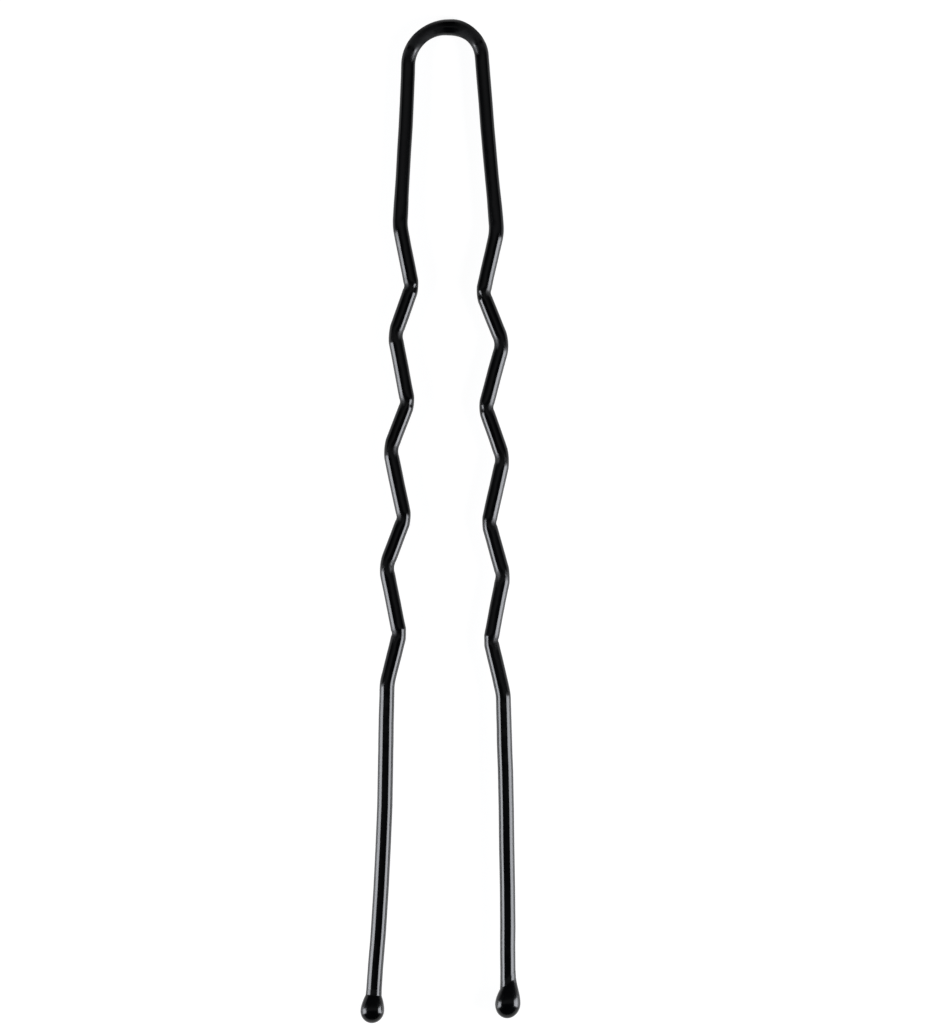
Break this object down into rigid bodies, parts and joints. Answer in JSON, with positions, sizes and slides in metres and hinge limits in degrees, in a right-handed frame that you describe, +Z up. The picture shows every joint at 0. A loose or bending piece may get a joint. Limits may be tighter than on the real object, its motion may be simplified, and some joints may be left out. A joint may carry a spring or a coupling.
{
  "type": "french hair pin",
  "caption": "Long U-shaped hair pin of black lacquered wire, with wavy crimped legs and rounded tips, which pins up a bun or twist of hair.",
  "frame": {"origin": "on the floor that the pin lies on, under the middle of its outline", "axes": "+Y from the tips to the loop along the pin's length, +X from the left leg to the right leg, +Z up from the floor"},
  "size_m": [0.0112, 0.07, 0.0017],
  "materials": {
    "lacquered_wire": "gloss black lacquer on steel wire",
    "resin_tip": "high gloss black resin"
  },
  "bodies": {
    "root": {"wire": "lacquered_wire", "tip_left": "resin_tip", "tip_right": "resin_tip"}
  },
  "joints": []
}
